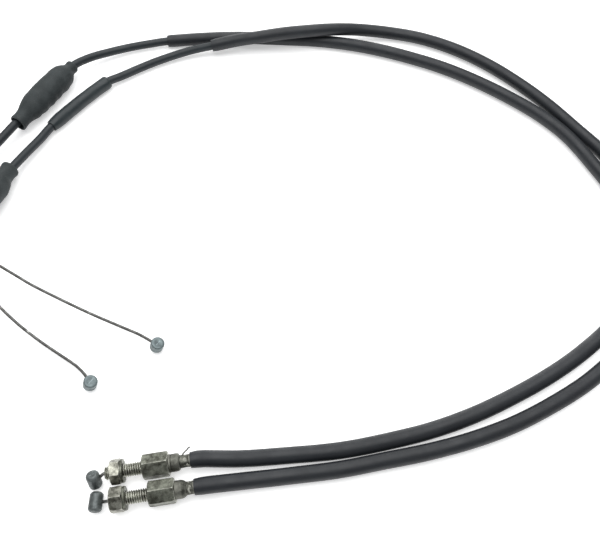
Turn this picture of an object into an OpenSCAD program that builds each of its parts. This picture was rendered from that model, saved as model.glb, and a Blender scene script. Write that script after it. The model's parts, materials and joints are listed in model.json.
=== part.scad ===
// A pair of motorcycle throttle cables, laid out on a flat surface.
// The pull cable opens the throttle and the return cable closes it.
// Each runs from a threaded adjuster at the carburettor, through a thick
// protective sleeve and a thin casing, past an in-line adjuster under a rubber
// boot, to an elbow pipe with a union nut and a free wire with a nipple.
// Units are millimetres, the surface is z = 0, and +Z is up.

/* [Wire and casing] */
// Diameter of the stranded inner wire
wire_d = 1.5; // [1.2:0.1:1.5]
// Outer diameter of the casing's plastic jacket
casing_d = 5; // [4.8:0.05:5]
// Outer diameter of the thick protective sleeve
sleeve_d = 7.7; // [7:0.1:7.7]
// Outer diameter of the shrink sleeve on the return cable
shrink_d = 8; // [7:0.1:8]

/* [Carburettor end] */
// Diameter of the adjuster's threaded stud
stud_d = 6; // [5.5:0.1:6]
// Length of the stud in front of the hexagon
stud_len = 16.4; // [15:0.1:17]
// Width across the flats of the adjuster's hexagon and its locknut
carb_hex_af = 10; // [9:0.1:10]
// Length of the adjuster's hexagon
carb_hex_len = 11.4; // [10:0.1:12]
// Outer diameter of the end cap behind the hexagon
end_cap_d = 8; // [7.6:0.1:8.4]
// Length of the end cap behind the hexagon
end_cap_len = 4.8; // [4:0.1:5.5]
// Outer diameter of the crimped ferrule
crimp_d = 5.8; // [5.6:0.1:6]
// Diameter of the carburettor nipples
carb_nipple_d = 6; // [5:0.1:6]
// Length of the carburettor nipples
carb_nipple_len = 8.4; // [6:0.1:8.4]

/* [Boots] */
// Diameter of the pull cable's boot at its fattest
pull_boot_d = 15.4; // [15:0.1:15.4]
// Length of the pull cable's boot
pull_boot_len = 53; // [50:0.5:54]
// Diameter of the return cable's boot at its fattest
return_boot_d = 16.2; // [15.2:0.1:16.2]
// Length of the return cable's boot
return_boot_len = 47.2; // [47:0.1:50]

/* [Grip end] */
// Outer diameter of the elbow pipes
pipe_d = 5.5; // [5.3:0.1:5.5]
// Bend radius of the pull cable's elbow pipe
pull_bend_r = 18; // [16:0.5:18]
// Bend radius of the return cable's elbow pipe
return_bend_r = 12; // [10:0.5:12]
// Width across the flats of the union nuts
union_af = 12; // [11:0.5:12]
// Diameter of the union nuts' threaded spigots
spigot_d = 10; // [9:0.5:10]
// Length of the union nuts' threaded spigots
spigot_len = 7.8; // [6:0.1:7.8]
// Diameter of the grip nipples
grip_nipple_d = 6.6; // [5:0.1:6.6]
// Length of the grip nipples
grip_nipple_len = 5.5; // [4:0.1:5.5]

/* [Hidden] */
$fn = 48;

// Colours
zinc = [0.52, 0.52, 0.46];
zinc_nut = [0.62, 0.62, 0.54];
cast_zinc = [0.42, 0.44, 0.46];
bright_zinc = [0.66, 0.69, 0.71];
steel = [0.36, 0.36, 0.35];
black_plastic = [0.15, 0.17, 0.20];
boot_rubber = [0.22, 0.24, 0.24];
liner_plastic = [0.85, 0.84, 0.78];

// Clearances, each one on the radius
turn_gap = 0.05;
wire_gap = 0.1;
layer_gap = 0.05;
seat_gap = 0.1;

// Radii of the casing's layers, from the wire outwards
wire_r = wire_d / 2;
bore_r = wire_r + wire_gap;
liner_in = wire_r + 0.2;
liner_out = 1.4;
armour_in = liner_out + layer_gap;
armour_out = 2.1;
jacket_in = armour_out + layer_gap;
jacket_out = casing_d / 2;
sleeve_in = jacket_out + 0.1;
sleeve_out = sleeve_d / 2;
pipe_r = pipe_d / 2;
pipe_bore_r = 1.9;
casing_socket_r = jacket_out + turn_gap;
pipe_socket_r = pipe_r + turn_gap;
cord_sides = 8;

// The carburettor adjusters point the same way, side by side, far enough apart
// for both hexagons to turn.
adjuster_z = 5.9;
adjuster_heading = 9;
pull_tip = [37.3, -116.6, adjuster_z];
return_tip = [41.1, -128.05, adjuster_z];

// Places along an adjuster, measured from the stud's tip
pull_nut_from = 2.4;
pull_nut_len = 4.5;
return_nut_from = 0;
return_nut_len = 5.6;
washer_gap = 0.1;
washer_len = 1.1;
washer_r = 5.2;
chamber_from = 20;
chamber_r = 3.45;
cap_spigot_from = 23.4;
flange_from = chamber_from + 0.3;
flange_to = cap_spigot_from - 0.3;
casing_seat = 22.1;
cap_from = stud_len + carb_hex_len;
cap_to = cap_from + end_cap_len;
pull_crimp_to = cap_to + 4.5;
return_crimp_to = cap_to + 3.3;
stub_depth = 37;
core_from = 38;
straight_to = 41;

// Carburettor nipples: the pull one leans, the return one lies on its side
carb_nipple_slope = 1;
pull_carb_nipple_at = [32.4, -119.1, 4.65];
pull_carb_nipple_lean = [-20, -3, 0];
return_carb_nipple_at = [34.1, -128.1, carb_nipple_d / 2];

// The outer stretch of each wire at the carburettor end, from the stud's tip
// to its nipple
pull_carb_wire_end = [[36.4, -116.8, 5.9], [35.4, -117.6, 5.6], [34.4, -118.4, 5.1]];
return_carb_wire_end = [[40.1, -128.2, 5.8], [38.7, -128.3, 4.8], [37.5, -128.1, 3.7], [35.9, -128, 3.2]];

// Boots and in-line adjusters lie along a straight axis from the boot's neck
// to its mouth
pull_neck = [-18.1, 131.1, 7.8];
pull_inline_heading = -118.5;
pull_inline_pitch = 0;
return_neck = [-56.1, 8, 12.5];
return_inline_heading = 69.5;
return_inline_pitch = -7.4;
pull_inline_from = 13;
return_inline_from = 12;

// Lengths of an in-line adjuster, measured from the start of its bolt
bolt_socket_len = 5;
bolt_hex_from = 3;
bolt_hex_to = 6;
bolt_hex_af = 8;
bolt_socket_r = 3.4;
inline_stud_r = 3;
inline_stud_to = 20;
inline_nut_from = 7;
inline_nut_to = 11;
barrel_from = 11.3;
barrel_hex_to = 20;
barrel_to = 24;
barrel_r = 3.8;
barrel_step = 20.4;
inline_hex_af = 10;
inline_ferrule_r = 3.3;
inline_ferrule_from = 20.7;
inline_ferrule_seat = 23;
inline_ferrule_to = 32.5;

// Elbow pipes: the corner where the two straight legs would meet, and the
// heading and pitch of each leg
pull_corner = [-80.5, 17.3, 7];
pull_leg_in = [-119, 0];
pull_leg_out = [-31, 0];
return_corner = [-60.344, -3.351, 14.074];
return_leg_in = [-110.5, 7.4];
return_leg_out = [-43.5, -10.2];
pull_pipe_tip = 48;
return_pipe_tip = 37;
flare_len = 1.8;
flare_r = 3.6;
union_hex_len = 7;
collar_from = 20;
collar_to = 32;
collar_r = 3.75;
collar_wall = 26;

// Grip nipples, tipped a little to the right
grip_nipple_slope = 0.4;
pull_grip_nipple_at = [53, -54.7, 3.9];
return_grip_nipple_at = [23.5, -74.2, 3.9];
grip_nipple_lean = [0, 20, 0];
grip_stub_depth = 4;
grip_straight = 24;

// Route of the pull cable's casing between its two straight fittings
pull_sleeve_route = [
    [95.5, -109.8, 4.3], [117.5, -108.2, 3.9], [140.5, -106, 3.9], [162.5, -101.8, 3.9],
    [182.5, -96.8, 3.9], [202.5, -89.7, 3.9], [222.5, -80.5, 3.9], [242.5, -69.6, 3.9],
    [261.5, -56.8, 3.9], [278.5, -42, 3.9], [289.7, -24.6, 3.9], [297.6, -4.8, 3.9],
    [300, 16, 3.9], [297, 37, 3.9], [289, 57, 3.9], [278.5, 78, 3.9],
    [266.5, 93, 3.9], [250.5, 107.5, 3.9], [232.5, 121, 3.9], [212.5, 133.2, 3.9],
    [192.5, 142.3, 3.9], [172.5, 149.6, 3.9], [152.5, 154.8, 3.9], [130.5, 158.2, 3.9],
    [107.5, 159.6, 3.9], [83.5, 160.7, 3.9], [60.5, 159.8, 3.9], [37.5, 157.5, 3.9]
];
pull_casing_route = [
    [26.1, 155.4, 3.6], [13.5, 151.8, 3.8], [1.8, 146.5, 4.8], [-9.1, 139.6, 6.6]
];

// Route of the return cable's casing: it lies outside the pull cable, climbs
// over it in a long low hump, and comes down inside it
return_sleeve_route = [
    [96.5, -119.6, 4.3], [117.5, -117.2, 3.9], [140.2, -114.4, 3.9], [160.5, -110.5, 3.9],
    [182, -106.2, 3.9], [202.5, -100.6, 3.9], [222.5, -93.2, 3.9], [242.5, -83.2, 3.9],
    [260.5, -72.2, 3.9], [278.5, -57.4, 3.9], [292.1, -40.5, 3.9], [302, -21.2, 3.9],
    [307.6, -0.2, 3.9], [308.8, 21.5, 3.9], [305.4, 43, 3.9], [297.6, 63.3, 3.9],
    [285.3, 82.5, 3.9], [271, 103.3, 3.9], [255.5, 121.6, 3.9], [237.5, 138.6, 3.9],
    [218.5, 151.6, 3.9], [200.5, 160, 3.9], [182.5, 164.5, 4.2], [162.5, 164.8, 6.6],
    [148.1, 161.6, 9.9], [135.5, 158.4, 12.1], [122.5, 156.6, 12.3], [109.5, 155.3, 11.6],
    [96.5, 154.4, 9.9], [82.5, 153.6, 8], [66.5, 151, 5.9]
];
return_casing_route = [
    [52.5, 148.2, 4.4], [34, 140.7, 3.4], [22.1, 133.8, 3.3], [11, 126.2, 3.6],
    [4, 121.4, 4.1], [-4.9, 111, 4.1], [-14.5, 98.5, 4.1], [-23.9, 85.2, 4.1],
    [-29, 74.6, 4.3], [-33.3, 66.4, 4.8]
];
return_shrink_from_end = 6;
return_shrink_to_end = 3;

// Route of the pull cable's casing between its boot and its elbow pipe
pull_grip_route = [[-44.3, 82.8, 7.7], [-48, 76, 7.4], [-51.2, 70.2, 7.1]];

// Route of each free wire from the end of its straight stretch to its nipple
pull_free_wire = [
    [-14.2, -22.5, 6.8], [2.3, -30.7, 5.8], [18.2, -37.9, 4.2], [33.5, -44.2, 2.7],
    [42.7, -48.2, 2.6], [47.5, -51, 3.1], [51.4, -53.6, 3.7]
];
return_free_wire = [
    [-10.5, -48.1, 2.4], [-5, -51.9, 1.8], [5.8, -58.8, 1.2], [14.1, -64.2, 1.5],
    [19.3, -68.9, 2.7], [22.3, -72.6, 3.6]
];

function unit(v) = v / norm(v);
function along(heading, pitch) =
    [cos(pitch) * cos(heading), cos(pitch) * sin(heading), sin(pitch)];

// Directions and points that the fittings give to the routes
adjuster_way = along(adjuster_heading, 0);
pull_inline_way = along(pull_inline_heading, pull_inline_pitch);
return_inline_way = along(return_inline_heading, return_inline_pitch);

function on_adjuster(tip, distance) = tip + distance * adjuster_way;
function on_pull_inline(distance) = pull_neck + distance * pull_inline_way;
function on_return_inline(distance) = return_neck + distance * return_inline_way;
function leg_out(leg) = along(leg[0], leg[1]);

// The arc of an elbow: its angle, the length of each tangent, its centre and
// a point on it
function bend_angle(leg_a, leg_b) = acos(leg_out(leg_a) * leg_out(leg_b));
function bend_tangent(leg_a, leg_b, r) = r * tan(bend_angle(leg_a, leg_b) / 2);
function bend_inward(leg_a, leg_b) =
    let (a = leg_out(leg_a), b = leg_out(leg_b)) unit(b - (a * b) * a);
function bend_centre(corner, leg_a, leg_b, r) =
    corner - bend_tangent(leg_a, leg_b, r) * leg_out(leg_a) + r * bend_inward(leg_a, leg_b);
function bend_point(corner, leg_a, leg_b, r, angle) =
    bend_centre(corner, leg_a, leg_b, r)
    + r * (sin(angle) * leg_out(leg_a) - cos(angle) * bend_inward(leg_a, leg_b));
function bend_points(corner, leg_a, leg_b, r, count) =
    [for (i = [0 : count])
        bend_point(corner, leg_a, leg_b, r, bend_angle(leg_a, leg_b) * i / count)];

// Whole route of each wire inside its casing, from the carburettor adjuster
// to the end of the elbow's bend
pull_carb_part = [
    on_adjuster(pull_tip, casing_seat), on_adjuster(pull_tip, core_from),
    on_adjuster(pull_tip, straight_to)
];
return_carb_part = [
    on_adjuster(return_tip, casing_seat), on_adjuster(return_tip, core_from),
    on_adjuster(return_tip, straight_to)
];
pull_seat_in = pull_inline_from + bolt_socket_len - seat_gap;
pull_seat_out = pull_inline_from + inline_ferrule_seat + seat_gap;
return_seat_out = return_inline_from + inline_ferrule_seat + seat_gap;
pull_collar_seat = pull_corner - (collar_wall + seat_gap) * leg_out(pull_leg_in);
pull_first_part = concat(
    pull_carb_part, pull_sleeve_route, pull_casing_route,
    [on_pull_inline(0), on_pull_inline(pull_seat_in)]);
pull_second_part = concat(
    [on_pull_inline(pull_seat_out), on_pull_inline(pull_inline_from + inline_ferrule_to)],
    pull_grip_route,
    [pull_corner - (collar_to + 1) * leg_out(pull_leg_in), pull_collar_seat]);
pull_core_route = concat(
    pull_first_part, pull_second_part,
    bend_points(pull_corner, pull_leg_in, pull_leg_out, pull_bend_r, 8));
return_first_part = concat(
    return_carb_part, return_sleeve_route, return_casing_route,
    [on_return_inline(return_boot_len), on_return_inline(return_seat_out)]);
return_core_route = concat(
    return_first_part, [on_return_inline(return_inline_from), on_return_inline(0)],
    bend_points(return_corner, return_leg_in, return_leg_out, return_bend_r, 7));
sleeve_start = 1;
core_start = 1;
pull_sleeve_end = len(pull_carb_part) + len(pull_sleeve_route) - 1;
return_sleeve_end = len(return_carb_part) + len(return_sleeve_route) - 1;
return_casing_end = return_sleeve_end + len(return_casing_route);
shrink_start = return_casing_end - return_shrink_from_end + 1;
shrink_end = return_casing_end - return_shrink_to_end + 1;
pull_first_end = len(pull_first_part) - 1;
pull_second_start = pull_first_end + 1;
pull_second_end = pull_first_end + len(pull_second_part);
return_first_end = len(return_first_part) - 1;

// ---- Sweeps along a route ----

function heading_at(route, i) =
    i == 0 ? unit(route[1] - route[0])
    : i == len(route) - 1 ? unit(route[i] - route[i - 1])
    : unit(unit(route[i + 1] - route[i]) + unit(route[i] - route[i - 1]));
function ring(route, i, r) =
    let (t = heading_at(route, i), side = unit(cross(t, [0, 0, 1])), up = cross(side, t))
    [for (k = [0 : cord_sides - 1])
        route[i] + r * (cos(360 * k / cord_sides) * side + sin(360 * k / cord_sides) * up)];
function rings(route, first, last, r) = [for (i = [first : last]) each ring(route, i, r)];
function wall(rows, base, outward) =
    [for (i = [0 : rows - 2]) for (k = [0 : cord_sides - 1])
        let (a = base + i * cord_sides + k,
             b = base + i * cord_sides + (k + 1) % cord_sides,
             c = b + cord_sides, d = a + cord_sides)
        each outward ? [[a, b, d], [b, c, d]] : [[a, d, b], [b, d, c]]];

// A solid cord between two of the route's points
module cord(route, first, last, r) {
    rows = last - first + 1;
    tail = (rows - 1) * cord_sides;
    polyhedron(
        points = rings(route, first, last, r),
        faces = concat(
            [[for (k = [cord_sides - 1 : -1 : 0]) k]],
            wall(rows, 0, true),
            [[for (k = [0 : cord_sides - 1]) tail + k]]));
}

// A hollow cord between two of the route's points
module cord_tube(route, first, last, r_out, r_in) {
    rows = last - first + 1;
    inner = rows * cord_sides;
    tail = (rows - 1) * cord_sides;
    polyhedron(
        points = concat(rings(route, first, last, r_out), rings(route, first, last, r_in)),
        faces = concat(
            wall(rows, 0, true),
            wall(rows, inner, false),
            [for (k = [0 : cord_sides - 1])
                let (n = (k + 1) % cord_sides)
                each [[n, k, inner + k, inner + n],
                      [tail + k, tail + n, inner + tail + n, inner + tail + k]]]));
}

// ---- Shapes that repeat ----

// Puts a shape whose axis is +Z at a point, along a heading and a pitch
module lay(point, heading, pitch = 0) {
    translate(point) rotate([0, 90 - pitch, heading]) children();
}

module round_bar(from, to, r) {
    translate([0, 0, from]) cylinder(h = to - from, r = r);
}

module bore(from, to, r) {
    round_bar(from - 0.01, to + 0.01, r);
}

// A hexagonal bar with chamfered corners at both ends
module hex_bar(from, to, af, turn = 0) {
    corner = af / sqrt(3);
    chamfer = 0.7;
    intersection() {
        rotate(turn) translate([0, 0, from])
            cylinder(h = to - from, r = corner, $fn = 6);
        rotate_extrude() polygon([
            [0, from], [af / 2 - 0.1, from], [corner, from + chamfer],
            [corner, to - chamfer], [af / 2 - 0.1, to], [0, to]]);
    }
}

// A hexagonal nut with a plain bore
module nut(from, to, af, bore_radius, turn) {
    difference() {
        hex_bar(from, to, af, turn);
        bore(from, to, bore_radius);
    }
}

// A nipple with sloped rims, centred on its own middle
module nipple(d, length, slope) {
    rotate_extrude() polygon([
        [0, -length / 2], [d / 2 - slope, -length / 2], [d / 2, slope - length / 2],
        [d / 2, length / 2 - slope], [d / 2 - slope, length / 2], [0, length / 2]]);
}

// ---- Carburettor end ----

module adjuster() {
    difference() {
        union() {
            rotate_extrude() polygon([
                [0, 0], [stud_d / 2 - 0.6, 0], [stud_d / 2, 0.6],
                [stud_d / 2, stud_len + 1], [0, stud_len + 1]]);
            hex_bar(stud_len, cap_from, carb_hex_af);
        }
        bore(0, chamber_from, bore_r);
        bore(chamber_from, cap_from, chamber_r);
    }
}

module end_cap() {
    difference() {
        union() {
            round_bar(cap_spigot_from, cap_from + 0.5, chamber_r - 0.03);
            rotate_extrude() polygon([
                [0, cap_from], [end_cap_d / 2, cap_from], [end_cap_d / 2, cap_to - 0.8],
                [end_cap_d / 2 - 0.6, cap_to], [0, cap_to]]);
        }
        bore(cap_spigot_from, cap_to, crimp_d / 2 + turn_gap);
    }
}

module carb_ferrule(crimp_to) {
    difference() {
        union() {
            round_bar(flange_from, flange_to, chamber_r - turn_gap);
            round_bar(flange_to, crimp_to, crimp_d / 2);
        }
        bore(flange_from, casing_seat - seat_gap, bore_r);
        bore(casing_seat - seat_gap, crimp_to, casing_socket_r);
    }
}

// The spring washer has a narrow split
module lock_washer(from) {
    split = 0.8;
    difference() {
        round_bar(from, from + washer_len, washer_r);
        bore(from, from + washer_len, stud_d / 2 + 2 * turn_gap);
        translate([0, -split / 2, from - 1]) cube([washer_r + 1, split, washer_len + 2]);
    }
}

module carb_wire(tip, outer_part) {
    route = concat(
        [on_adjuster(tip, stub_depth), on_adjuster(tip, chamber_from), on_adjuster(tip, 0)],
        outer_part);
    cord(route, 0, len(route) - 1, wire_r);
}

// ---- Boots and in-line adjusters ----

// A hollow rubber boot: a tight neck at z = 0, a fat body and a wider mouth
module boot(length, fat_d, neck_bore_r) {
    fat = fat_d / 2;
    wall_t = 1.15;
    mouth = 4.9;
    difference() {
        rotate_extrude() polygon([
            [0, 0], [neck_bore_r + 1.1, 0], [neck_bore_r + 1.35, 1.5],
            [neck_bore_r + 1.2, 3], [fat - 2.2, 6.5], [fat - 0.5, 10], [fat, 14],
            [fat, length - 18], [fat - 0.4, length - 14], [fat - 1.3, length - 10.5],
            [mouth, length - 6.5], [mouth - 0.1, length - 3], [mouth + 0.2, length - 1.6],
            [mouth + 0.1, length], [0, length]]);
        rotate_extrude() polygon([
            [0, -1], [neck_bore_r, -1], [neck_bore_r, 4],
            [fat - 3.4, 7.5], [fat - 1.7, 10.5], [fat - wall_t, 14],
            [fat - wall_t, length - 18], [fat - 1.7, length - 14.5],
            [mouth - 0.9, length - 7.5], [mouth - 0.9, length + 1], [0, length + 1]]);
    }
}

module inline_bolt(socket_r) {
    difference() {
        union() {
            round_bar(0, bolt_hex_to, bolt_socket_r);
            hex_bar(bolt_hex_from, bolt_hex_to, bolt_hex_af);
            round_bar(bolt_hex_to, inline_stud_to, inline_stud_r);
        }
        bore(0, bolt_socket_len, socket_r);
        bore(bolt_socket_len, inline_stud_to, bore_r);
    }
}

module inline_locknut() {
    nut(inline_nut_from, inline_nut_to, inline_hex_af, inline_stud_r + turn_gap, 0);
}

module inline_barrel() {
    difference() {
        union() {
            hex_bar(barrel_from, barrel_hex_to, inline_hex_af);
            round_bar(barrel_hex_to - 0.5, barrel_to, barrel_r);
        }
        bore(barrel_from, barrel_step, inline_stud_r + turn_gap);
        bore(barrel_step, barrel_to, inline_ferrule_r + turn_gap);
    }
}

module inline_ferrule() {
    difference() {
        round_bar(inline_ferrule_from, inline_ferrule_to, inline_ferrule_r);
        bore(inline_ferrule_from, inline_ferrule_seat, bore_r);
        bore(inline_ferrule_seat, inline_ferrule_to, casing_socket_r);
    }
}

// ---- Grip end ----

// Two straight legs and a bend, hollow, with a flare at the tip. It is built
// around the bend's own centre, then laid in the plane of the two legs. The
// bend is a touch thinner where its ends lap into the legs.
module elbow_pipe(corner, leg_a, leg_b, r, leg_a_to, tip) {
    tangent = bend_tangent(leg_a, leg_b, r);
    angle = bend_angle(leg_a, leg_b);
    lap = 0.3;
    thinning = 0.05;
    x = -bend_inward(leg_a, leg_b);
    y = leg_out(leg_a);
    z = cross(x, y);
    c = bend_centre(corner, leg_a, leg_b, r);
    multmatrix([[x[0], y[0], z[0], c[0]], [x[1], y[1], z[1], c[1]], [x[2], y[2], z[2], c[2]]]) {
        translate([r, 0, 0]) rotate([90, 0, 0]) difference() {
            round_bar(-lap, leg_a_to - tangent, pipe_r);
            bore(-lap, leg_a_to - tangent, pipe_bore_r);
        }
        rotate_extrude(angle = angle) translate([r, 0]) difference() {
            circle(r = pipe_r - thinning);
            circle(r = pipe_bore_r + thinning);
        }
        rotate(angle) translate([r, 0, 0]) rotate([-90, 0, 0]) difference() {
            union() {
                round_bar(-lap, tip - tangent, pipe_r);
                round_bar(tip - tangent - flare_len, tip - tangent, flare_r);
            }
            bore(-lap, tip - tangent - 3, pipe_bore_r);
            bore(tip - tangent - 3, tip - tangent, bore_r);
        }
    }
}

module union_nut(tip) {
    spigot_to = tip - flare_len - 0.2;
    hex_to = spigot_to - spigot_len;
    difference() {
        union() {
            hex_bar(hex_to - union_hex_len, hex_to, union_af);
            rotate_extrude() polygon([
                [0, hex_to - 1], [spigot_d / 2, hex_to - 1], [spigot_d / 2, spigot_to - 0.4],
                [spigot_d / 2 - 0.4, spigot_to], [0, spigot_to]]);
        }
        bore(hex_to - union_hex_len, spigot_to, pipe_r + turn_gap);
    }
}

module grip_wire(corner, leg, tip, outer_part) {
    way = leg_out(leg);
    route = concat(
        [corner + (tip - grip_stub_depth) * way, corner + tip * way,
         corner + (tip + grip_straight) * way],
        outer_part);
    cord(route, 0, len(route) - 1, wire_r);
}

// ---- Pull cable ----

module pull_carb_nipple()
    color(cast_zinc) translate(pull_carb_nipple_at) rotate(pull_carb_nipple_lean)
        nipple(carb_nipple_d, carb_nipple_len, carb_nipple_slope);
module pull_wire_carb_end() color(steel) carb_wire(pull_tip, pull_carb_wire_end);
module pull_locknut()
    color(zinc_nut) lay(pull_tip, adjuster_heading)
        nut(pull_nut_from, pull_nut_from + pull_nut_len, carb_hex_af,
            stud_d / 2 + turn_gap, 30);
module pull_lock_washer()
    color(zinc) lay(pull_tip, adjuster_heading)
        lock_washer(pull_nut_from + pull_nut_len + washer_gap);
module pull_adjuster() color(zinc) lay(pull_tip, adjuster_heading) adjuster();
module pull_end_cap() color(zinc) lay(pull_tip, adjuster_heading) end_cap();
module pull_carb_ferrule()
    color(zinc) lay(pull_tip, adjuster_heading) carb_ferrule(pull_crimp_to);
module pull_sleeve()
    color(black_plastic)
        cord_tube(pull_core_route, sleeve_start, pull_sleeve_end, sleeve_out, sleeve_in);
module pull_jacket()
    color(black_plastic)
        cord_tube(pull_core_route, 0, pull_first_end, jacket_out, jacket_in);
module pull_armour()
    color(steel) cord_tube(pull_core_route, 0, pull_first_end, armour_out, armour_in);
module pull_liner()
    color(liner_plastic) cord_tube(pull_core_route, 0, pull_first_end, liner_out, liner_in);
module pull_wire_core()
    color(steel) cord(pull_core_route, core_start, len(pull_core_route) - 1, wire_r);
module pull_boot()
    color(boot_rubber) lay(pull_neck, pull_inline_heading, pull_inline_pitch)
        boot(pull_boot_len, pull_boot_d, casing_socket_r);
module on_pull_bolt()
    lay(on_pull_inline(pull_inline_from), pull_inline_heading, pull_inline_pitch) children();
module pull_inline_bolt() color(zinc) on_pull_bolt() inline_bolt(casing_socket_r);
module pull_inline_locknut() color(zinc_nut) on_pull_bolt() inline_locknut();
module pull_inline_barrel() color(zinc) on_pull_bolt() inline_barrel();
module pull_inline_ferrule() color(zinc) on_pull_bolt() inline_ferrule();
module pull_grip_jacket()
    color(black_plastic)
        cord_tube(pull_core_route, pull_second_start, pull_second_end, jacket_out, jacket_in);
module pull_grip_armour()
    color(steel)
        cord_tube(pull_core_route, pull_second_start, pull_second_end, armour_out, armour_in);
module pull_grip_liner()
    color(liner_plastic)
        cord_tube(pull_core_route, pull_second_start, pull_second_end, liner_out, liner_in);
module pull_elbow_collar()
    color(zinc) lay(pull_corner, pull_leg_in[0], pull_leg_in[1]) difference() {
        round_bar(-collar_to, -collar_from, collar_r);
        bore(-collar_to, -collar_wall, casing_socket_r);
        bore(-collar_wall, -collar_from, pipe_socket_r);
    }
module pull_elbow_pipe()
    color(zinc) elbow_pipe(
        pull_corner, pull_leg_in, pull_leg_out, pull_bend_r,
        collar_wall - seat_gap, pull_pipe_tip);
module pull_union_nut()
    color(zinc) lay(pull_corner, pull_leg_out[0], pull_leg_out[1]) union_nut(pull_pipe_tip);
module pull_wire_grip_end()
    color(steel) grip_wire(pull_corner, pull_leg_out, pull_pipe_tip, pull_free_wire);
module pull_grip_nipple()
    color(bright_zinc) translate(pull_grip_nipple_at) rotate(grip_nipple_lean)
        nipple(grip_nipple_d, grip_nipple_len, grip_nipple_slope);

// ---- Return cable ----

module return_carb_nipple()
    color(cast_zinc) translate(return_carb_nipple_at) rotate([90, 0, 0])
        nipple(carb_nipple_d, carb_nipple_len, carb_nipple_slope);
module return_wire_carb_end() color(steel) carb_wire(return_tip, return_carb_wire_end);
module return_locknut()
    color(zinc_nut) lay(return_tip, adjuster_heading)
        nut(return_nut_from, return_nut_from + return_nut_len, carb_hex_af,
            stud_d / 2 + turn_gap, 0);
module return_lock_washer()
    color(zinc) lay(return_tip, adjuster_heading)
        lock_washer(return_nut_from + return_nut_len + washer_gap);
module return_adjuster() color(zinc) lay(return_tip, adjuster_heading) adjuster();
module return_end_cap() color(zinc) lay(return_tip, adjuster_heading) end_cap();
module return_carb_ferrule()
    color(zinc) lay(return_tip, adjuster_heading) carb_ferrule(return_crimp_to);
module return_sleeve()
    color(black_plastic)
        cord_tube(return_core_route, sleeve_start, return_sleeve_end, sleeve_out, sleeve_in);
module return_jacket()
    color(black_plastic)
        cord_tube(return_core_route, 0, return_first_end, jacket_out, jacket_in);
module return_armour()
    color(steel) cord_tube(return_core_route, 0, return_first_end, armour_out, armour_in);
module return_liner()
    color(liner_plastic)
        cord_tube(return_core_route, 0, return_first_end, liner_out, liner_in);
module return_wire_core()
    color(steel) cord(return_core_route, core_start, len(return_core_route) - 1, wire_r);
module return_shrink_sleeve()
    color(black_plastic)
        cord_tube(return_core_route, shrink_start, shrink_end, shrink_d / 2, sleeve_in);
module return_boot()
    color(boot_rubber) lay(return_neck, return_inline_heading, return_inline_pitch)
        boot(return_boot_len, return_boot_d, pipe_socket_r);
module on_return_bolt()
    lay(on_return_inline(return_inline_from), return_inline_heading, return_inline_pitch)
        children();
module return_inline_bolt() color(zinc) on_return_bolt() inline_bolt(pipe_socket_r);
module return_inline_locknut() color(zinc_nut) on_return_bolt() inline_locknut();
module return_inline_barrel() color(zinc) on_return_bolt() inline_barrel();
module return_inline_ferrule() color(zinc) on_return_bolt() inline_ferrule();
module return_elbow_pipe()
    color(zinc) elbow_pipe(
        return_corner, return_leg_in, return_leg_out, return_bend_r,
        norm(return_corner - return_neck) + return_inline_from + bolt_socket_len - seat_gap,
        return_pipe_tip);
module return_union_nut()
    color(zinc) lay(return_corner, return_leg_out[0], return_leg_out[1])
        union_nut(return_pipe_tip);
module return_wire_grip_end()
    color(steel)
        grip_wire(return_corner, return_leg_out, return_pipe_tip, return_free_wire);
module return_grip_nipple()
    color(bright_zinc) translate(return_grip_nipple_at) rotate(grip_nipple_lean)
        nipple(grip_nipple_d, grip_nipple_len, grip_nipple_slope);

pull_carb_nipple();
pull_wire_carb_end();
pull_locknut();
pull_lock_washer();
pull_adjuster();
pull_end_cap();
pull_carb_ferrule();
pull_sleeve();
pull_jacket();
pull_armour();
pull_liner();
pull_wire_core();
pull_boot();
pull_inline_bolt();
pull_inline_locknut();
pull_inline_barrel();
pull_inline_ferrule();
pull_grip_jacket();
pull_grip_armour();
pull_grip_liner();
pull_elbow_collar();
pull_elbow_pipe();
pull_union_nut();
pull_wire_grip_end();
pull_grip_nipple();
return_carb_nipple();
return_wire_carb_end();
return_locknut();
return_lock_washer();
return_adjuster();
return_end_cap();
return_carb_ferrule();
return_sleeve();
return_jacket();
return_armour();
return_liner();
return_wire_core();
return_shrink_sleeve();
return_boot();
return_inline_bolt();
return_inline_locknut();
return_inline_barrel();
return_inline_ferrule();
return_elbow_pipe();
return_union_nut();
return_wire_grip_end();
return_grip_nipple();
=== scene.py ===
"""Looks of a pair of motorcycle throttle cables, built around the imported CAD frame.

Lengths are metres in the CAD frame. They are millimetres where a name ends in _mm or
_MM, in the tables passed to mm(), and in the stations passed to turned().
"""
import json
import math

import bpy
from mathutils import Euler, Matrix, Vector, noise


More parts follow.
